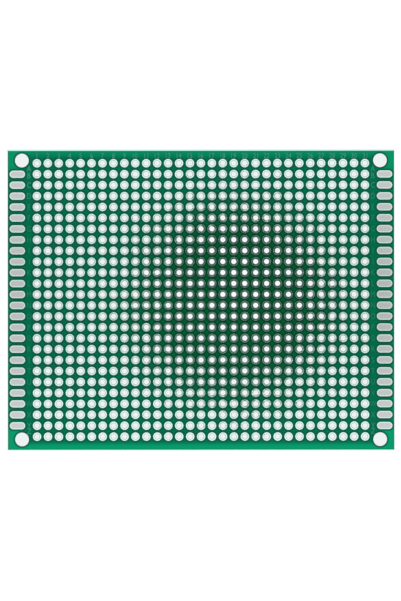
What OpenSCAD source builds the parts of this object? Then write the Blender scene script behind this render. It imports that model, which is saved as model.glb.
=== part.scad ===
/* [Lead grid] */
// Distance between neighbouring lead holes, along and across the board
pitch = 2.54; // [2.5:0.01:3]
// Number of lead holes along the board
columns = 31; // [6:1:40]
// Number of lettered rows of lead holes across the board
rows = 26; // [4:1:26]
// Open bore of a finished lead hole
lead_hole_d = 1.1; // [0.7:0.05:1.3]
// Outer diameter of a round pad
pad_d = 2; // [1.8:0.05:2.1]

/* [Board] */
// Glass-epoxy core, without metal or mask
laminate_t = 1.48; // [0.8:0.02:2.4]
// From the outermost column of holes to the board's side edge
side_margin = 6.9; // [6.6:0.1:12]
// From the outermost row of holes to the board's top or bottom edge
end_margin = 3.25; // [3:0.05:8]

/* [Scored edge] */
// Web left between the front and back scores, where the board was snapped from its panel
score_web = 0.5; // [0.3:0.02:0.7]
// Angle between the two flanks that the scoring blade cut
score_angle = 45; // [30:5:60]

/* [Plating] */
// Copper and tin that line the wall of a lead hole
barrel_wall = 0.05; // [0.03:0.01:0.1]
// Copper and tin that stand on each face
pad_t = 0.06; // [0.04:0.01:0.1]
// Width of the tin's rounded shoulder at a pad's rim
shoulder_w = 0.07; // [0.04:0.01:0.18]
// Width of the tin's rounded knee at the mouth of a hole
knee_w = 0.08; // [0.04:0.01:0.12]
// How far down the hole the knee starts
knee_drop = 0.04; // [0.02:0.01:0.1]

/* [Edge pads] */
// Length of an edge pad, in from the board's side
edge_pad_l = 3.6; // [2:0.1:3.8]
// Width of an edge pad, along the board's side
edge_pad_w = 1.7; // [1.2:0.05:1.9]
// Bare strip between an edge pad and the board's side
edge_pad_inset = 0.55; // [0.5:0.05:1]

/* [Mounting holes] */
// Diameter of a corner mounting hole
mount_hole_d = 3.2; // [2.2:0.1:3.4]
// From the board's side edge to a mounting hole's centre
mount_inset_x = 3.4; // [2.6:0.05:3.7]
// From the board's top or bottom edge to a mounting hole's centre
mount_inset_y = 2.6; // [2.3:0.05:2.8]

/* [Solder mask] */
// Thickness of the cured mask
mask_t = 0.03; // [0.02:0.01:0.04]
// Bare ring between a pad and the mask
mask_gap = 0.1; // [0.05:0.01:0.15]

/* [Hidden] */
$fn = 48;
cut_over = 1;

board_w = (columns - 1) * pitch + 2 * side_margin;
board_l = (rows - 1) * pitch + 2 * end_margin;

// Heights, up from the flat that the back pads rest on
back_z = pad_t;
front_z = back_z + laminate_t;

score_depth = (laminate_t - score_web) / 2;
score_setback = score_depth * tan(score_angle / 2);

hole_r = lead_hole_d / 2;
pad_r = pad_d / 2;
barrel_r = hole_r + barrel_wall;

column_x = [for (i = [0 : columns - 1]) (i - (columns - 1) / 2) * pitch];
row_y = [for (j = [0 : rows - 1]) ((rows - 1) / 2 - j) * pitch];
mount_x = board_w / 2 - mount_inset_x;
mount_y = board_l / 2 - mount_inset_y;
edge_pad_x = board_w / 2 - edge_pad_inset - edge_pad_l / 2;
// The first and last rows leave their ends to the mounting holes
edge_pad_y = [for (j = [1 : rows - 2]) row_y[j]];

// Tin's quarter-round corners, each in this many chords, as height over the laminate against radius
arc_steps = 2;
knee = [for (s = [0 : arc_steps]) let (a = 90 * s / arc_steps)
    [hole_r + knee_w * (1 - cos(a)), -knee_drop + (pad_t + knee_drop) * sin(a)]];
function shoulder(half_w) = [for (s = [0 : arc_steps]) let (a = 90 * s / arc_steps)
    [half_w - shoulder_w * (1 - sin(a)), pad_t * cos(a)]];
pad_section = concat(knee, shoulder(pad_r));

function at_front(points) = [for (p = points) [p[0], front_z + p[1]]];
function at_back(points) = [for (k = [len(points) - 1 : -1 : 0]) [points[k][0], back_z - points[k][1]]];

ROW_NODES = [for (j = [0 : rows - 1]) str("row_", chr(97 + j), "_plated_holes")];

module at_lead_holes() {
    for (y = row_y)
        for (x = column_x)
            translate([x, y, 0]) children();
}

module at_mounting_holes() {
    for (x = [-mount_x, mount_x])
        for (y = [-mount_y, mount_y])
            translate([x, y, 0]) children();
}

module at_edge_pads(side) {
    for (y = edge_pad_y)
        translate([side * edge_pad_x, y, 0]) children();
}

// Section of a plate that was scored on both faces and snapped, w from edge to edge
module snapped_section(w) {
    edge = w / 2;
    face = edge - score_setback;
    polygon([
        [face, back_z], [edge, back_z + score_depth],
        [edge, front_z - score_depth], [face, front_z],
        [-face, front_z], [-edge, front_z - score_depth],
        [-edge, back_z + score_depth], [-face, back_z]
    ]);
}

// A drill's path right through the laminate
module drilled(d) {
    translate([0, 0, back_z - cut_over])
        cylinder(d = d, h = laminate_t + 2 * cut_over);
}

module laminate() {
    color("darkkhaki")
        difference() {
            intersection() {
                rotate([90, 0, 0])
                    linear_extrude(board_l + cut_over, center = true) snapped_section(board_w);
                rotate([90, 0, 90])
                    linear_extrude(board_w + cut_over, center = true) snapped_section(board_l);
            }
            at_lead_holes() drilled(2 * barrel_r);
            at_mounting_holes() drilled(mount_hole_d);
        }
}

// A rectangle with round ends, its length along X
module pill(l, w) {
    square([l - w, w], center = true);
    for (side = [-1, 1])
        translate([side * (l - w) / 2, 0]) circle(d = w);
}

// One face's mask, with a window round each pad, drilled through with the mounting holes
module solder_mask() {
    color("seagreen")
        linear_extrude(mask_t)
            difference() {
                square([board_w - 2 * score_setback, board_l - 2 * score_setback], center = true);
                at_lead_holes() circle(d = pad_d + 2 * mask_gap);
                at_mounting_holes() circle(d = mount_hole_d);
                for (side = [-1, 1])
                    at_edge_pads(side) pill(edge_pad_l + 2 * mask_gap, edge_pad_w + 2 * mask_gap);
            }
}

module solder_mask_front() {
    translate([0, 0, front_z]) solder_mask();
}

module solder_mask_back() {
    translate([0, 0, back_z - mask_t]) solder_mask();
}

// Barrel through the board with a tinned pad on either face, turned from one section
module plated_hole() {
    rotate_extrude()
        polygon(concat(
            at_front(pad_section),
            [[barrel_r, front_z], [barrel_r, back_z]],
            at_back(pad_section)
        ));
}

module plated_hole_row(y) {
    color("gainsboro")
        for (x = column_x)
            translate([x, y, 0]) plated_hole();
}

// Half of the section across an edge pad, from its middle line out to its rim
module edge_pad_half_section() {
    polygon(concat([[0, 0], [0, pad_t]], shoulder(edge_pad_w / 2)));
}

module edge_pad() {
    straight = edge_pad_l - edge_pad_w;
    rotate([90, 0, 90])
        linear_extrude(straight, center = true) {
            edge_pad_half_section();
            mirror([1, 0]) edge_pad_half_section();
        }
    for (turn = [0, 180])
        rotate([0, 0, turn])
            translate([straight / 2, 0, 0])
                rotate([0, 0, -90]) rotate_extrude(angle = 180) edge_pad_half_section();
}

module front_edge_pads(side) {
    color("silver")
        translate([0, 0, front_z]) at_edge_pads(side) edge_pad();
}

module back_edge_pads(side) {
    color("silver")
        translate([0, 0, back_z]) at_edge_pads(side) mirror([0, 0, 1]) edge_pad();
}

laminate();
solder_mask_front();
solder_mask_back();
for (j = [0 : rows - 1])
    plated_hole_row(row_y[j]);
front_edge_pads(-1);  // front_left_edge_pads
front_edge_pads(1);  // front_right_edge_pads
back_edge_pads(-1);  // back_left_edge_pads
back_edge_pads(1);  // back_right_edge_pads
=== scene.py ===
"""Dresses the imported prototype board: tin, solder mask, glass weave, printed index and a studio."""

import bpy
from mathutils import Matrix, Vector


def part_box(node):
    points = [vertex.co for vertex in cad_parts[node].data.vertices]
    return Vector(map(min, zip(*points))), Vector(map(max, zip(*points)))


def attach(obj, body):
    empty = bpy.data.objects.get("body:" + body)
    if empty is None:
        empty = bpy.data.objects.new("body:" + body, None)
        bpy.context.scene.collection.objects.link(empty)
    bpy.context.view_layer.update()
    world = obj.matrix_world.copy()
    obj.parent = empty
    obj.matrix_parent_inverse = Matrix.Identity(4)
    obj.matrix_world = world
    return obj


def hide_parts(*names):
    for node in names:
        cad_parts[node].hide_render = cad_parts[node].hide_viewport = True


bl_info = {
    "name": "Prototype Board",
    "version": (1, 0, 0),
    "blender": (4, 5, 0),
    "location": "View3D > Sidebar > Board",
    "description": "Finishes a plated prototype board and sets it in a studio, seen from above",
    "category": "Object",
}

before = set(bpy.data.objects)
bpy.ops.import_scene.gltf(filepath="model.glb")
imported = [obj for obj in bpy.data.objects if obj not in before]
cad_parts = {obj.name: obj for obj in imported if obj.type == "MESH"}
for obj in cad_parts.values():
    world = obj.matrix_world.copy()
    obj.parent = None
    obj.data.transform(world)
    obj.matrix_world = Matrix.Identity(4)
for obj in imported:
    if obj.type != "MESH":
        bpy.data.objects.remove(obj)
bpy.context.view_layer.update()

import math
import random

import bmesh
import bpy
from bpy.props import FloatProperty, FloatVectorProperty, IntProperty, PointerProperty
from mathutils import Matrix

MM = 0.001

# Heights and outlines that the frame fixes
ROW_NODES = sorted(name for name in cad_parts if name.startswith("row_"))
MASK_NODES = sorted(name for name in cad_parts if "solder_mask" in name)
LAMINATE_LOW, LAMINATE_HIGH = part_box("laminate")
MASK_HIGH = max((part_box(name)[1] for name in MASK_NODES), key=lambda corner: corner.z)
ROW_LOW, ROW_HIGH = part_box(ROW_NODES[0])
BACK_Z, FRONT_Z = LAMINATE_LOW.z, LAMINATE_HIGH.z
MIDDLE_Z = (BACK_Z + FRONT_Z) / 2
HALF_T = (FRONT_Z - BACK_Z) / 2
PAD_RADIUS = (ROW_HIGH.y - ROW_LOW.y) / 2
PAD_T = ROW_HIGH.z - FRONT_Z
ROW_Y = [(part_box(name)[0].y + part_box(name)[1].y) / 2 for name in ROW_NODES]
PITCH = ROW_Y[0] - ROW_Y[1]
COLUMNS = round((ROW_HIGH.x - ROW_LOW.x - 2 * PAD_RADIUS) / PITCH) + 1
COLUMN_X = [(i - (COLUMNS - 1) / 2) * PITCH for i in range(COLUMNS)]
EDGE_LOW, EDGE_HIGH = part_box("front_right_edge_pads")
EDGE_PAD_X = (EDGE_LOW.x + EDGE_HIGH.x) / 2
EDGE_PAD_L = EDGE_HIGH.x - EDGE_LOW.x
EDGE_PAD_W = EDGE_HIGH.y - EDGE_LOW.y - (len(ROW_Y) - 3) * PITCH

# Centre and radius of the mounting hole in the corner of positive X and Y
MOUNTING_X, MOUNTING_Y, MOUNTING_RADIUS = 41.6 * MM, 32.4 * MM, 1.6 * MM

# Points nearer to each other than this are merged
MERGE_DISTANCE = 0.0005 * MM

# A Mix node's colour sockets, whose names its other sockets share
MIX_LOW, MIX_HIGH, MIX_RESULT = 6, 7, 2


class TinSettings(bpy.types.PropertyGroup):
    """Plated holes and edge pads."""

    bore_radius: FloatProperty(
        name="Bore radius", description="Open radius of a plated hole, to its facets' corners",
        default=0.575 * MM, unit="LENGTH")
    wall: FloatProperty(
        name="Barrel wall", description="Metal between bore and laminate",
        default=0.025 * MM, unit="LENGTH")
    knee: FloatProperty(
        name="Knee", description="Width of the rounding at a hole's mouth",
        default=0.095 * MM, unit="LENGTH")
    knee_drop: FloatProperty(
        name="Knee drop", description="How far down the hole the rounding starts",
        default=0.04 * MM, unit="LENGTH")
    shoulder: FloatProperty(
        name="Shoulder", description="Width of the rounding at a pad's rim",
        default=0.035 * MM, unit="LENGTH")
    steps: IntProperty(
        name="Steps", description="Facets round a plated hole",
        default=14, min=8, max=48)
    lean: FloatProperty(
        name="Lean", description="Most that one side of a pad's tin may lie lower",
        default=0.009 * MM, unit="LENGTH")
    ripple: FloatProperty(
        name="Ripple", description="Unevenness round a pad's crown",
        default=0.0015 * MM, unit="LENGTH")
    seed: IntProperty(
        name="Seed", description="Starts the random unevenness of the tin",
        default=31)
    hole_satin: FloatProperty(
        name="Hole satin", description="Roughness of the tin on a plated hole",
        default=0.025)
    edge_satin: FloatProperty(
        name="Edge pad satin", description="Roughness of the tin on an edge pad",
        default=0.10)
    # Painted reflection of the green mask and painted highlight, on the tin near a pad's rim
    rim_reflection_colour: FloatVectorProperty(
        name="Rim", description="Tin near a pad's rim, where it picks up green",
        subtype="COLOR", default=(0.71, 1.0, 0.91))
    # Painted reflection of the green mask and painted highlight, on an edge pad's tin near its rim
    edge_rim_reflection_colour: FloatVectorProperty(
        name="Edge pad rim", description="Tin near an edge pad's rim",
        subtype="COLOR", default=(0.68, 0.87, 0.82))
    mouth_colour: FloatVectorProperty(
        name="Mouth", description="Tin round the mouth of a hole",
        subtype="COLOR", default=(0.54, 0.63, 0.605))
    # Painted highlight: tin painted brighter where it turns down into a hole
    knee_highlight_colour: FloatVectorProperty(
        name="Knee tin", description="Tin where it turns down into a hole",
        subtype="COLOR", default=(0.86, 0.92, 0.91))
    flat_colour: FloatVectorProperty(
        name="Edge pad tin", description="Tin in the middle of an edge pad",
        subtype="COLOR", default=(0.585, 0.605, 0.60))


class MaskSettings(bpy.types.PropertyGroup):
    """Solder mask on both faces."""

    colour: FloatVectorProperty(
        name="Mask", description="Mask over the copper grid",
        subtype="COLOR", default=(0.001, 0.096, 0.028))
    # Mask over bare laminate, lightened with painted light glowing through the laminate from the lit
    # floor
    margin_and_glow_colour: FloatVectorProperty(
        name="Margin", description="Mask over bare laminate, along the edges",
        subtype="COLOR", default=(0.002, 0.278, 0.107))
    gloss_tint: FloatVectorProperty(
        name="Gloss tint", description="Tint of the reflection off the mask",
        subtype="COLOR", default=(0.01, 0.755, 0.53))
    lip_colour: FloatVectorProperty(
        name="Lip", description="Chipped mask along the top edge",
        subtype="COLOR", default=(0.62, 0.98, 0.88))
    weave_pitch: FloatProperty(
        name="Weave pitch", description="Spacing of the glass cloth's threads under the mask",
        default=0.6 * MM, unit="LENGTH")


class LaminateSettings(bpy.types.PropertyGroup):
    """Glass-epoxy core."""

    fibre_colour: FloatVectorProperty(
        name="Glass", description="Broken glass fibre on snapped and drilled edges",
        subtype="COLOR", default=(0.78, 0.86, 0.80))
    resin_colour: FloatVectorProperty(
        name="Resin", description="Epoxy between the plies",
        subtype="COLOR", default=(0.50, 0.58, 0.47))
    dust_colour: FloatVectorProperty(
        name="Dust", description="Scored flanks of the edges",
        subtype="COLOR", default=(0.69, 0.94, 0.85))
    # Painted shade: the top of the scored flanks at both sides painted dark green
    lip_colour: FloatVectorProperty(
        name="Lip", description="Top of the flanks at both sides",
        subtype="COLOR", default=(0.01, 0.22, 0.11))
    # Green-stained laminate, darkened with painted shade for the narrow windows round the pads
    face_and_shade_colour: FloatVectorProperty(
        name="Face", description="Laminate seen in the windows round the pads",
        subtype="COLOR", default=(0.001, 0.100, 0.055))
    ply: FloatProperty(
        name="Ply", description="Thickness of one glass ply",
        default=0.185 * MM, unit="LENGTH")


class PrintSettings(bpy.types.PropertyGroup):
    """Index letters and numbers."""

    letter_height: FloatProperty(
        name="Letter height", description="Height of a row letter",
        default=1.3 * MM, unit="LENGTH")
    number_height: FloatProperty(
        name="Number height", description="Height of a column number",
        default=1.2 * MM, unit="LENGTH")
    letter_x: FloatProperty(
        name="Letter column", description="From the board's middle to the letters",
        default=39.93 * MM, unit="LENGTH")
    number_y: FloatProperty(
        name="Number line", description="From the board's middle to the numbers",
        default=33.5 * MM, unit="LENGTH")
    slim: FloatProperty(
        name="Slimness", description="Width of a mark as a share of the font's",
        default=0.82)
    ink_t: FloatProperty(
        name="Ink", description="Thickness of the ink",
        default=0.006 * MM, unit="LENGTH")
    colour: FloatVectorProperty(
        name="Ink colour", description="Thin pale ink over the mask",
        subtype="COLOR", default=(0.050, 0.31, 0.195))
    faint_colour: FloatVectorProperty(
        name="Faint ink", description="Ink half way down the board, where it hardly took",
        subtype="COLOR", default=(0.012, 0.168, 0.082))
    gloss_tint: FloatVectorProperty(
        name="Ink gloss tint", description="Tint of the reflection off the ink",
        subtype="COLOR", default=(0.1, 1.0, 0.75))


class StageSettings(bpy.types.PropertyGroup):
    """Floor, light and camera."""

    camera_height: FloatProperty(
        name="Camera height", description="Camera over the board",
        default=1.0, unit="LENGTH")
    tent_radius: FloatProperty(
        name="Tent radius", description="Reach of the tent's roof and wall",
        default=2.0, unit="LENGTH")
    view_height: FloatProperty(
        name="View height", description="What the photograph's frame takes in, top to bottom",
        default=139.6 * MM, unit="LENGTH")
    camera_x: FloatProperty(
        name="Camera X", description="Camera across",
        default=-0.118 * MM, unit="LENGTH")
    camera_y: FloatProperty(
        name="Camera Y", description="Camera along",
        default=-0.15 * MM, unit="LENGTH")
    camera_roll: FloatProperty(
        name="Camera roll", description="How far the camera stood from square",
        default=-0.0008, unit="ROTATION")
    sky: FloatProperty(
        name="Sky", description="Brightness of the white tent",
        default=0.97)
    roof: FloatProperty(
        name="Roof", description="Brightness of the tent's roof straight above",
        default=0.82)
    roof_end: FloatProperty(
        name="Roof ends", description="Brightness of the roof past the camera's stand",
        default=1.12)
    wall: FloatProperty(
        name="Wall", description="Brightness of the tent's wall, down to the floor",
        default=0.45)
    lens_colour: FloatVectorProperty(
        name="Lens", description="What the tin mirrors of the camera",
        subtype="COLOR", default=(0.012, 0.050, 0.034))
    lens_lit_colour: FloatVectorProperty(
        name="Lens, lit side", description="What the tin mirrors of the lens where the light reaches it",
        subtype="COLOR", default=(0.095, 0.165, 0.135))
    glow: FloatProperty(
        name="Floor glow", description="Brightness of the lit floor",
        default=0.87)
    shade: FloatVectorProperty(
        name="Shade", description="Floor under the board, seen through its holes",
        subtype="COLOR", default=(0.85, 0.895, 0.89))


class Signal:
    """A shader value that works in Python expressions: each operator adds its Math node."""

    def __init__(self, finish, socket):
        self.finish = finish
        self.socket = socket

    def math(self, operation, first, second=None):
        values = {0: first} if second is None else {0: first, 1: second}
        return self.finish.node("ShaderNodeMath", {"operation": operation}, values)

    def __add__(self, other):
        return self.math("ADD", self, other)

    __radd__ = __add__

    def __mul__(self, other):
        return self.math("MULTIPLY", self, other)

    __rmul__ = __mul__

    def __sub__(self, other):
        return self.math("SUBTRACT", self, other)

    def __rsub__(self, other):
        return self.math("SUBTRACT", other, self)

    def __truediv__(self, other):
        return self.math("DIVIDE", self, other)

    def __rtruediv__(self, other):
        return self.math("DIVIDE", other, self)

    def __pow__(self, other):
        return self.math("POWER", self, other)

    def __rpow__(self, other):
        return self.math("POWER", other, self)

    def __abs__(self):
        return self.math("ABSOLUTE", self)

    def over(self, other):
        return self.math("GREATER_THAN", self, other)

    def largest(self, other):
        return self.math("MAXIMUM", self, other)

    def least(self, other):
        return self.math("MINIMUM", self, other)

    def from_nearest(self, first, step, count):
        """Distance, with its sign, from the nearest of evenly spaced places."""
        which = self.math("ROUND", (self - first) / step).largest(0).least(count - 1)
        return self - first - which * step

    def wave(self, period):
        """A sine of height -1 to 1 that repeats each period."""
        return self.math("SINE", self * (math.tau / period))

    def rise(self, start, end):
        """0 before start, 1 after end, and smooth between them."""
        return self.finish.node(
            "ShaderNodeMapRange", {"interpolation_type": "SMOOTHSTEP"},
            {"Value": self, "From Min": start, "From Max": end})


class Finish:
    """A procedural material, and the one method that adds its nodes."""

    def __init__(self, name):
        self.material = bpy.data.materials.new(name)
        self.material.use_nodes = True
        self.tree = self.material.node_tree
        self.shader = self.tree.nodes["Principled BSDF"]
        self.place = self.node("ShaderNodeTexCoord", {}, {}, "Object")
        axes = self.node("ShaderNodeSeparateXYZ", {}, {"Vector": self.place}, None)
        self.x, self.y, self.z = (Signal(self, axes.outputs[k]) for k in range(3))

    def feed(self, socket, value):
        """Links a socket to a signal, or sets it to a number, a vector or a colour."""
        if isinstance(value, Signal):
            self.tree.links.new(value.socket, socket)
        elif socket.type == "RGBA":
            socket.default_value = (*value, 1.0)
        else:
            socket.default_value = value

    def node(self, kind, settings, values, output=0):
        """Adds a node, sets it up, fills its sockets and returns an output, or the node for None."""
        made = self.tree.nodes.new(kind)
        for name, value in settings.items():
            setattr(made, name, value)
        for name, value in values.items():
            self.feed(made.inputs[name], value)
        return made if output is None else Signal(self, made.outputs[output])

    def noise(self, size, detail=3.0, stretch=(1.0, 1.0, 1.0)):
        """Noise about 0.5, with features of the given size in metres."""
        place = self.node("ShaderNodeMapping", {}, {"Vector": self.place, "Scale": stretch})
        return self.node(
            "ShaderNodeTexNoise", {},
            {"Vector": place, "Scale": 1 / size, "Detail": detail, "Roughness": 0.55})

    def blend(self, factor, low, high):
        """A colour between two, by a factor from 0 to 1."""
        made = self.node(
            "ShaderNodeMix", {"data_type": "RGBA", "clamp_factor": True},
            {"Factor": factor, MIX_LOW: low, MIX_HIGH: high}, None)
        return Signal(self, made.outputs[MIX_RESULT])

    def past_pad(self):
        """Distance past the outline of the nearest pad, and less than 0 inside it."""
        across = self.x.from_nearest(COLUMN_X[0], PITCH, COLUMNS)
        along = self.y.from_nearest(ROW_Y[-1], PITCH, len(ROW_Y))
        round_pad = (across * across + along * along) ** 0.5 - PAD_RADIUS
        ahead = (abs(abs(self.x) - EDGE_PAD_X) - (EDGE_PAD_L - EDGE_PAD_W) / 2).largest(0)
        aside = self.y.from_nearest(ROW_Y[-2], PITCH, len(ROW_Y) - 2)
        edge_pad = (ahead * ahead + aside * aside) ** 0.5 - EDGE_PAD_W / 2
        return round_pad.least(edge_pad)

    def past_sides(self, corner):
        """Distance past a rectangle about the middle of the board, and less than 0 inside it."""
        return (abs(self.x) - corner.x).largest(abs(self.y) - corner.y)

    def set(self, **values):
        """Feeds the shader's sockets, named with underscores for spaces."""
        for name, value in values.items():
            self.feed(self.shader.inputs[name.replace("_", " ")], value)

    def relief(self, height, depth, strength):
        """Bends the shading by a height from 0 to 1, which stands depth metres tall."""
        self.set(Normal=self.node(
            "ShaderNodeBump", {}, {"Strength": strength, "Distance": depth, "Height": height}, "Normal"))


def paint(piece, finish):
    """Gives a piece one finish all over."""
    piece.data.materials.clear()
    piece.data.materials.append(finish.material)


def link_mesh(bm, name):
    """Turns a bmesh into an object at the origin."""
    mesh = bpy.data.meshes.new(name)
    bm.to_mesh(mesh)
    bm.free()
    piece = bpy.data.objects.new(name, mesh)
    bpy.context.scene.collection.objects.link(piece)
    return piece


# Where the knee's colour (a painted highlight on plated holes) ends and where the rim's painted green
# reflection and highlight comes up, as distances past a pad's outline
KNEE_END = (-0.42 * MM, -0.38 * MM)
RIM_START = (-0.36 * MM, -0.14 * MM)
# Where dried flux shows in its noise, and what it leaves of each part of the tin's colour
FLUX_SHOWS = (0.40, 0.62)
FLUX_TINT = (0.90, 1.05, 1.01)
# How much the tin's roughness varies
SATIN_SPREAD = 0.03


def tin_finish(name, inner, middle, rim, satin):
    """Hot tin: a little uneven, with a painted reflection of the green mask and a painted highlight
    towards its rim, and an inner colour where it turns down into a hole, which on plated holes is a
    painted highlight.
    """
    finish = Finish(name)
    past_pad = finish.past_pad()
    flux = finish.noise(size=0.55 * MM, detail=2.0).rise(*FLUX_SHOWS)
    crown = finish.blend(flux, middle, tuple(share * part for share, part in zip(FLUX_TINT, middle)))
    # Inside the knee the inner colour, which on plated holes is a painted highlight
    crown = finish.blend(past_pad.rise(*KNEE_END), inner, crown)
    # Towards the rim the tin takes its painted green reflection and highlight
    finish.set(
        Base_Color=finish.blend(past_pad.rise(*RIM_START), crown, rim),
        Metallic=1.0,
        Roughness=finish.noise(size=0.9 * MM) * SATIN_SPREAD + satin)
    finish.relief(finish.noise(size=0.35 * MM, detail=2.0), depth=0.004 * MM, strength=0.2)
    return finish


# Where the mask turns lighter: past the last row, in the corners and along both sides; partly mask over
# bare laminate, partly painted light glowing through the laminate from the lit floor
MARGIN_PAST_ROWS = (0.9 * MM, 2.4 * MM)
MARGIN_CORNER_X, MARGIN_CORNER_Y = (40 * MM, 43.6 * MM), (27.5 * MM, 31.5 * MM)
MARGIN_SIDE_X = (43.4 * MM, 44.7 * MM)
# How light it turns there, and how much more in the corners and towards the lower edge
MARGIN_SHARE, CORNER_SHARE, LOWER_SHARE, SIDE_SHARE = 0.5, 0.3, 0.5, 0.45
LOWER_EDGE = (20 * MM, -30 * MM)
# Height and middle of the slow change in the mask's green
CLOUD_SPREAD, CLOUD_MIDDLE = 0.12, 0.06
# How far from a pad or a hole the painted shade round it fades out
PAD_SHADE_FADES = (0.08 * MM, 0.58 * MM)
# Where painted shade comes up again along its outline, as distances past that, and by how much
MASK_EDGE, EDGE_SHADE_SHARE = (-0.26 * MM, -0.10 * MM), 0.5
# What is left of its colour in painted shade
MASK_SHADE_SHARE = 0.3
# The strip that the scoring blade chipped along the top, below the mask's upper edge
CHIP_START, CHIP_END = 0.20 * MM, 0.12 * MM
# The cloth's threads are wider apart along the board's short side, and stand this high in its relief
WEFT_STRETCH, THREAD_SHARE = 1.3, 0.25
# Roughness of the mask, and how much it varies
MASK_ROUGHNESS, ROUGHNESS_SPREAD = 0.04, 0.03


def mask_finish(mask):
    """Green ink over glass cloth: deep over the grid, with painted shade round each pad and hole and
    along its outline, and lighter along the edges, partly as mask over bare laminate and partly as
    painted glow through the laminate.
    """
    finish = Finish("green_solder_mask")
    across, along = abs(finish.x), abs(finish.y)
    ends = along.rise(*(ROW_Y[0] + reach for reach in MARGIN_PAST_ROWS))
    corners = across.rise(*MARGIN_CORNER_X) * along.rise(*MARGIN_CORNER_Y)
    sides = across.rise(*MARGIN_SIDE_X) * SIDE_SHARE
    weight = finish.y.rise(*LOWER_EDGE) * LOWER_SHARE + corners * CORNER_SHARE + MARGIN_SHARE
    cloud = finish.noise(size=12 * MM, detail=2.0) * CLOUD_SPREAD - CLOUD_MIDDLE
    # Lighter margins: partly mask over bare laminate, partly painted glow through the laminate
    green = finish.blend(
        ends.largest(corners).largest(sides) * weight + cloud, mask.colour, mask.margin_and_glow_colour)
    past_hole = ((across - MOUNTING_X) ** 2 + (along - MOUNTING_Y) ** 2) ** 0.5 - MOUNTING_RADIUS
    # Painted shade round each pad and mounting hole, darkest at its edge
    full = finish.past_pad().least(past_hole).rise(*PAD_SHADE_FADES)
    # Painted shade along the mask's outline
    edge = finish.past_sides(MASK_HIGH).rise(*MASK_EDGE) * EDGE_SHADE_SHARE
    shaded_mask = tuple(MASK_SHADE_SHARE * part for part in mask.colour)
    chipped = finish.y.rise(MASK_HIGH.y - CHIP_START, MASK_HIGH.y - CHIP_END)
    threads = finish.x.wave(mask.weave_pitch) * finish.y.wave(mask.weave_pitch * WEFT_STRETCH)
    finish.set(
        Base_Color=finish.blend(chipped, finish.blend(full - edge, shaded_mask, green), mask.lip_colour),
        Roughness=finish.noise(size=2.2 * MM) * ROUGHNESS_SPREAD + MASK_ROUGHNESS,
        IOR=1.85,
        Specular_Tint=mask.gloss_tint)
    finish.relief(
        threads * THREAD_SHARE + finish.noise(size=0.8 * MM), depth=0.002 * MM, strength=0.5)
    return finish


# How near to the top or bottom a point counts as on a face, and how far off the middle a flank starts
FACE_SKIN = 0.004 * MM
FLANK_START = (0.22 * MM, 0.27 * MM)
# Where the painted shade on the lip at both sides gives way to dust, as distances past the mask
LIP_END = (0.05 * MM, 0.10 * MM)
# Shares of plies and of frayed fibre in an edge's colour, and of plies in its relief
PLY_SHARE, FRAY_SHARE, PLY_RELIEF = 0.55, 0.6, 0.4
# Roughness of an edge, and how much smoother a face is
EDGE_ROUGHNESS, FACE_SMOOTHER = 0.75, 0.25


def laminate_finish(laminate):
    """Plies of glass in resin on the edges, and green-stained laminate in the mask's windows, painted
    nearly black as shade.
    """
    finish = Finish("glass_epoxy")
    height = finish.z - MIDDLE_Z
    past_side = abs(finish.x) - MASK_HIGH.x
    past_end = abs(finish.y) - MASK_HIGH.y
    on_face = abs(height).over(HALF_T - FACE_SKIN)
    plies = height.wave(laminate.ply) * 0.5 + 0.5
    fray = finish.noise(size=0.5 * MM, detail=4.0, stretch=(1.0, 1.0, 4.0))
    section = finish.blend(
        plies * PLY_SHARE + fray * FRAY_SHARE, laminate.resin_colour, laminate.fibre_colour)
    # The scoring blade left white dust on both flanks; their lips at the sides are painted dark green as
    # shade
    scored = finish.blend(
        past_side.rise(*LIP_END) + past_end.over(0), laminate.lip_colour, laminate.dust_colour)
    flank = abs(height).rise(*FLANK_START) * finish.past_sides(MASK_HIGH).over(0)
    section = finish.blend(flank, section, scored)
    # On its faces the laminate takes its stained colour darkened with painted shade
    finish.set(
        Base_Color=finish.blend(on_face, section, laminate.face_and_shade_colour),
        Roughness=EDGE_ROUGHNESS - on_face * FACE_SMOOTHER)
    finish.relief(plies * PLY_RELIEF + fray, depth=0.03 * MM, strength=0.6)
    return finish


# Where the ink took well, towards the upper and the lower edge, and where the right letters stand
INK_UPPER, INK_LOWER = (19 * MM, 28 * MM), (-24 * MM, -32 * MM)
RIGHT_LETTERS = (38.7 * MM, 39.3 * MM)
# How much fainter the right letters are
RIGHT_FAINTER = 0.4
# Where worn ink turns solid in its noise, and what is left of the colour where it is worn
INK_TURNS_SOLID, WORN_INK = (0.3, 0.7), 0.72


def ink_finish(style):
    """Thin pale ink that lets the green through."""
    finish = Finish("legend_ink")
    solid = finish.noise(size=0.25 * MM).rise(*INK_TURNS_SOLID)
    worn = tuple(WORN_INK * part for part in style.colour)
    ends = finish.y.rise(*INK_UPPER).largest(finish.y.rise(*INK_LOWER))
    taken = ends * (1 - finish.x.rise(*RIGHT_LETTERS) * RIGHT_FAINTER)
    finish.set(
        Base_Color=finish.blend(
            taken, style.faint_colour, finish.blend(solid, worn, style.colour)),
        Roughness=0.5,
        Specular_Tint=style.gloss_tint)
    return finish


# The one corner of a rim's rounding, as shares of its width in from the rim and of the tin's height
SHOULDER_IN, SHOULDER_UP = 0.3, 0.7
# A face whose normal stands this upright is level, and is shaded flat
LEVEL = 0.999
# How near to the full height a point of the tin counts as on its crown
CROWN_SKIN = 0.001 * MM


def pad_section(tin):
    """Section of the tin on one face, as radius and height over the laminate, from bore to rim."""
    return [
        (tin.bore_radius, -tin.knee_drop),
        (tin.bore_radius + tin.knee, PAD_T),
        (PAD_RADIUS - tin.shoulder, PAD_T),
        (PAD_RADIUS - SHOULDER_IN * tin.shoulder, SHOULDER_UP * PAD_T),
        (PAD_RADIUS, 0.0),
    ]


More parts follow.
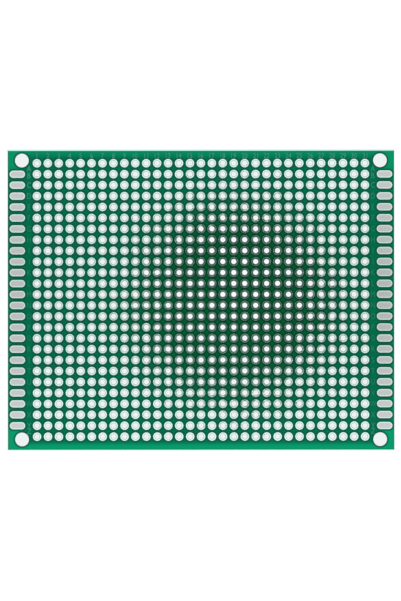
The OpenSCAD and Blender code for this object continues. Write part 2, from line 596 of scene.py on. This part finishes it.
def spin_eyelet(tin):
    """One plated hole on the Z axis: the closed section of barrel and both pads, spun round it."""
    front = [(r, FRONT_Z + h) for r, h in pad_section(tin)]
    back = [(r, BACK_Z - h) for r, h in pad_section(tin)]
    barrel = tin.bore_radius + tin.wall
    loop = front + [(barrel, FRONT_Z), (barrel, BACK_Z)] + back[::-1]
    bm = bmesh.new()
    verts = [bm.verts.new((r, 0.0, z)) for r, z in loop]
    edges = [bm.edges.new((a, b)) for a, b in zip(verts, verts[1:] + verts[:1])]
    bmesh.ops.spin(
        bm, geom=verts + edges, axis=(0, 0, 1), cent=(0, 0, 0), dvec=(0, 0, 0), angle=math.tau,
        steps=tin.steps, use_merge=True, use_duplicate=False)
    bmesh.ops.remove_doubles(bm, verts=bm.verts, dist=MERGE_DISTANCE)
    bmesh.ops.recalc_face_normals(bm, faces=bm.faces)
    for face in bm.faces:
        face.smooth = abs(face.normal.z) < LEVEL
    mesh = bpy.data.meshes.new("eyelet")
    bm.to_mesh(mesh)
    bm.free()
    return mesh


def settle_tin(verts, tin, draw):
    """Lets the crown of the tin lean and ripple, as it froze, never above its full height."""
    lows = {1: draw.uniform(0, tin.lean), -1: draw.uniform(0, tin.lean)}
    turns = {1: draw.uniform(0, math.tau), -1: draw.uniform(0, math.tau)}
    for vert in verts:
        if abs(vert.co.z - MIDDLE_Z) < HALF_T + PAD_T - CROWN_SKIN:
            continue
        side = 1 if vert.co.z > MIDDLE_Z else -1
        angle = math.atan2(vert.co.y, vert.co.x)
        sink = lows[side] * (1 - math.cos(angle - turns[side])) / 2 + draw.uniform(0, tin.ripple)
        vert.co.z -= side * sink


def tinned_row(name, y, eyelet, tin, draw):
    """A row of plated holes, each with tin of its own."""
    bm = bmesh.new()
    for x in COLUMN_X:
        before = len(bm.verts)
        bm.from_mesh(eyelet)
        bm.verts.ensure_lookup_table()
        fresh = bm.verts[before:]
        bmesh.ops.rotate(
            bm, verts=fresh, cent=(0, 0, 0), matrix=Matrix.Rotation(draw.uniform(0, math.pi), 3, "Z"))
        settle_tin(fresh, tin, draw)
        bmesh.ops.translate(bm, verts=fresh, vec=(x, y, 0))
    return link_mesh(bm, name)


def mark_mesh(text, height, slim):
    """One printed mark: its strokes as closed slabs one unit thick, scaled to its height."""
    curve = bpy.data.curves.new("mark", "FONT")
    curve.body = text
    curve.align_x, curve.align_y = "CENTER", "CENTER"
    curve.resolution_u = 3
    curve.extrude = 0.5
    holder = bpy.data.objects.new("mark", curve)
    mesh = bpy.data.meshes.new_from_object(holder)
    bpy.data.objects.remove(holder)
    bpy.data.curves.remove(curve)
    low = min(v.co.y for v in mesh.vertices)
    high = max(v.co.y for v in mesh.vertices)
    left = min(v.co.x for v in mesh.vertices)
    right = max(v.co.x for v in mesh.vertices)
    centre = Matrix.Translation((-(left + right) / 2, -(low + high) / 2, 0))
    scale = height / (high - low)
    mesh.transform(Matrix.Diagonal((scale * slim, scale, 1, 1)) @ centre)
    return mesh


def print_marks(name, marks, height, style):
    """Prints marks, each a text and its place, as one piece on the front mask."""
    bm = bmesh.new()
    for text, (x, y) in marks:
        before = len(bm.verts)
        mesh = mark_mesh(text, height, style.slim)
        bm.from_mesh(mesh)
        bpy.data.meshes.remove(mesh)
        bm.verts.ensure_lookup_table()
        fresh = bm.verts[before:]
        bmesh.ops.scale(bm, verts=fresh, vec=(1, 1, style.ink_t))
        bmesh.ops.translate(bm, verts=fresh, vec=(x, y, MASK_HIGH.z + style.ink_t / 2))
    bmesh.ops.remove_doubles(bm, verts=bm.verts, dist=MERGE_DISTANCE)
    bmesh.ops.recalc_face_normals(bm, faces=bm.faces)
    piece = link_mesh(bm, name)
    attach(piece, "root")
    return piece


BLACK = (0.0, 0.0, 0.0)
# The floor's grey, and how far inside the board's outline its shade ends
FLOOR_GREY = 0.18
SHADE_END = (-1.2 * MM, -0.6 * MM)
# Half the floor's side, and the gap that keeps it clear of the board's back
FLOOR_REACH, FLOOR_GAP = 2.5, 0.01 * MM
# Segments of the tent's roof and wall
TENT_SEGMENTS = 64
# On the roof: the middle of the camera's stand, and where the dull band round it ends
STAND_Y, STAND_END = 0.006, (0.015, 0.085)
# On the roof: the middle of the lens, and where its dark edge ends
LENS_X, LENS_Y, LENS_EDGE = 0.0164, -0.0009, (0.032, 0.060)
# The light reaches the lens from below, and this much from the left, across this width of its middle
LIT_FROM_LEFT, LIT_EDGE = 0.6, (-0.03, 0.03)


def floor_finish(stage):
    """A lit white floor, a little dimmer where the board stands on it."""
    finish = Finish("lit_floor")
    clear = finish.past_sides(LAMINATE_HIGH).rise(*SHADE_END)
    finish.set(
        Base_Color=finish.blend(clear, BLACK, (FLOOR_GREY,) * 3),
        Emission_Color=finish.blend(clear, stage.shade, (stage.glow,) * 3),
        Emission_Strength=1.0,
        Roughness=0.9,
        Specular_IOR_Level=0.0)
    return finish


def roof_finish(stage):
    """The tent's roof as the tin mirrors it: duller round the camera's stand, dark at the lens."""
    finish = Finish("tent_roof")
    roof = finish.blend(
        abs(finish.y - STAND_Y).rise(*STAND_END), (stage.roof,) * 3, (stage.roof_end,) * 3)
    lit_side = (finish.y * -1.0 - finish.x * LIT_FROM_LEFT).rise(*LIT_EDGE)
    lens = finish.blend(lit_side, stage.lens_colour, stage.lens_lit_colour)
    from_lens = ((finish.x - LENS_X) ** 2 + (finish.y - LENS_Y) ** 2) ** 0.5
    finish.set(
        Base_Color=BLACK,
        Specular_IOR_Level=0.0,
        Emission_Color=finish.blend(from_lens.rise(*LENS_EDGE), lens, roof),
        Emission_Strength=1.0)
    return finish


def wall_finish(stage):
    """The tent's wall as gloss mirrors it at a low angle."""
    finish = Finish("tent_wall")
    finish.set(
        Base_Color=BLACK,
        Specular_IOR_Level=0.0,
        Emission_Color=(stage.wall,) * 3,
        Emission_Strength=1.0)
    return finish


def hang_mirrored(bm, name, finish):
    """Hangs a part of the tent that is seen in reflections alone."""
    piece = link_mesh(bm, name)
    paint(piece, finish)
    piece.visible_camera = False
    piece.visible_diffuse = False
    piece.visible_transmission = False
    piece.visible_shadow = False


class BOARD_OT_set_stage(bpy.types.Operator):
    """Lay the lit floor, hang the tent and its lens, and aim the camera"""

    bl_idname = "board.set_stage"
    bl_label = "Set the Stage"

    def execute(self, context):
        stage = context.scene.board_stage
        bm = bmesh.new()
        bmesh.ops.create_grid(
            bm, x_segments=1, y_segments=1, size=FLOOR_REACH,
            matrix=Matrix.Translation((0, 0, -FLOOR_GAP)))
        floor = link_mesh(bm, "floor")
        paint(floor, floor_finish(stage))
        world = bpy.data.worlds.new("white_tent")
        context.scene.world = world
        world.use_nodes = True
        sky = world.node_tree.nodes["Background"]
        sky.inputs["Color"].default_value = (1.0, 1.0, 1.0, 1.0)
        sky.inputs["Strength"].default_value = stage.sky
        bm = bmesh.new()
        bmesh.ops.create_circle(
            bm, cap_ends=True, segments=TENT_SEGMENTS, radius=stage.tent_radius,
            matrix=Matrix.Translation((0, 0, stage.camera_height)))
        hang_mirrored(bm, "tent_roof", roof_finish(stage))
        bm = bmesh.new()
        bmesh.ops.create_cone(
            bm, cap_ends=False, segments=TENT_SEGMENTS, radius1=stage.tent_radius,
            radius2=stage.tent_radius, depth=stage.camera_height,
            matrix=Matrix.Translation((0, 0, stage.camera_height / 2)))
        hang_mirrored(bm, "tent_wall", wall_finish(stage))
        camera = bpy.data.objects.new("camera", bpy.data.cameras.new("camera"))
        context.scene.collection.objects.link(camera)
        camera.location = (stage.camera_x, stage.camera_y, FRONT_Z + stage.camera_height)
        camera.rotation_euler.z = stage.camera_roll
        camera.data.lens = camera.data.sensor_width * stage.camera_height / stage.view_height
        camera.data.clip_start = 0.01
        context.scene.camera = camera
        context.scene.view_settings.view_transform = "Standard"
        return {"FINISHED"}


class BOARD_OT_finish_laminate(bpy.types.Operator):
    """Give the core its plies, its frayed edges and its face, green-stained and darkened with painted
    shade
    """

    bl_idname = "board.finish_laminate"
    bl_label = "Finish the Laminate"

    def execute(self, context):
        paint(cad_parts["laminate"], laminate_finish(context.scene.board_laminate))
        return {"FINISHED"}


class BOARD_OT_finish_masks(bpy.types.Operator):
    """Coat both faces with green solder mask"""

    bl_idname = "board.finish_masks"
    bl_label = "Finish the Solder Masks"

    def execute(self, context):
        finish = mask_finish(context.scene.board_mask)
        for name in MASK_NODES:
            paint(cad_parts[name], finish)
        return {"FINISHED"}


class BOARD_OT_tin_holes(bpy.types.Operator):
    """Replace each row of plated holes with one whose tin froze unevenly"""

    bl_idname = "board.tin_holes"
    bl_label = "Tin the Plated Holes"

    def execute(self, context):
        tin = context.scene.board_tin
        finish = tin_finish(
            "tinned_pads", tin.knee_highlight_colour, tin.mouth_colour, tin.rim_reflection_colour, tin.hole_satin)
        draw = random.Random(tin.seed)
        eyelet = spin_eyelet(tin)
        for name, y in zip(ROW_NODES, ROW_Y):
            row = tinned_row(name.replace("plated_holes", "tinned_eyelets"), y, eyelet, tin, draw)
            paint(row, finish)
            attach(row, "root")
            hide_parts(name)
        bpy.data.meshes.remove(eyelet)
        return {"FINISHED"}


class BOARD_OT_tin_edge_pads(bpy.types.Operator):
    """Give the edge pads their flat satin tin"""

    bl_idname = "board.tin_edge_pads"
    bl_label = "Tin the Edge Pads"

    def execute(self, context):
        tin = context.scene.board_tin
        finish = tin_finish(
            "tinned_edge_pads", tin.flat_colour, tin.flat_colour, tin.edge_rim_reflection_colour, tin.edge_satin)
        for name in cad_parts:
            if name.endswith("edge_pads"):
                paint(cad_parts[name], finish)
        return {"FINISHED"}


# How far the first and last letters, and the second, move to stand clear of the mounting holes
CLEAR_OF_HOLE, SECOND_CLEAR = 0.5 * PITCH, 0.12 * PITCH


class BOARD_OT_print_index(bpy.types.Operator):
    """Print the row letters down both sides and the column numbers along the top"""

    bl_idname = "board.print_index"
    bl_label = "Print the Index"

    def execute(self, context):
        style = context.scene.board_print
        ink = ink_finish(style)
        heights = list(ROW_Y)
        heights[0] -= CLEAR_OF_HOLE
        heights[1] -= SECOND_CLEAR
        heights[-1] += CLEAR_OF_HOLE
        letters = [chr(ord("A") + k) for k in range(len(ROW_Y))]
        for side, x in (("left", -style.letter_x), ("right", style.letter_x)):
            marks = [(letter, (x, y)) for letter, y in zip(letters, heights)]
            paint(print_marks(f"{side}_row_letters", marks, style.letter_height, style), ink)
        numbers = [(str(k + 1), (x, style.number_y)) for k, x in enumerate(COLUMN_X)]
        paint(print_marks("column_numbers", numbers, style.number_height, style), ink)
        return {"FINISHED"}


class BOARD_PT_panel(bpy.types.Panel):
    """Steps and settings of the board."""

    bl_label = "Prototype Board"
    bl_idname = "BOARD_PT_panel"
    bl_space_type = "VIEW_3D"
    bl_region_type = "UI"
    bl_category = "Board"

    def draw(self, context):
        for step in STEPS:
            self.layout.operator(step.bl_idname)
        for attribute, group in SETTINGS.items():
            box = self.layout.box()
            for name in group.__annotations__:
                box.prop(getattr(context.scene, attribute), name)


SETTINGS = {
    "board_stage": StageSettings,
    "board_laminate": LaminateSettings,
    "board_mask": MaskSettings,
    "board_tin": TinSettings,
    "board_print": PrintSettings,
}
STEPS = (
    BOARD_OT_set_stage,
    BOARD_OT_finish_laminate,
    BOARD_OT_finish_masks,
    BOARD_OT_tin_holes,
    BOARD_OT_tin_edge_pads,
    BOARD_OT_print_index,
)
CLASSES = (*SETTINGS.values(), *STEPS, BOARD_PT_panel)


def register():
    for cls in CLASSES:
        bpy.utils.register_class(cls)
    for attribute, group in SETTINGS.items():
        setattr(bpy.types.Scene, attribute, PointerProperty(type=group))


def unregister():
    for attribute in SETTINGS:
        delattr(bpy.types.Scene, attribute)
    for cls in reversed(CLASSES):
        bpy.utils.unregister_class(cls)


def main():
    register()
    for step in STEPS:
        group, name = step.bl_idname.split(".")
        getattr(getattr(bpy.ops, group), name)()


if __name__ == "__main__":
    main()
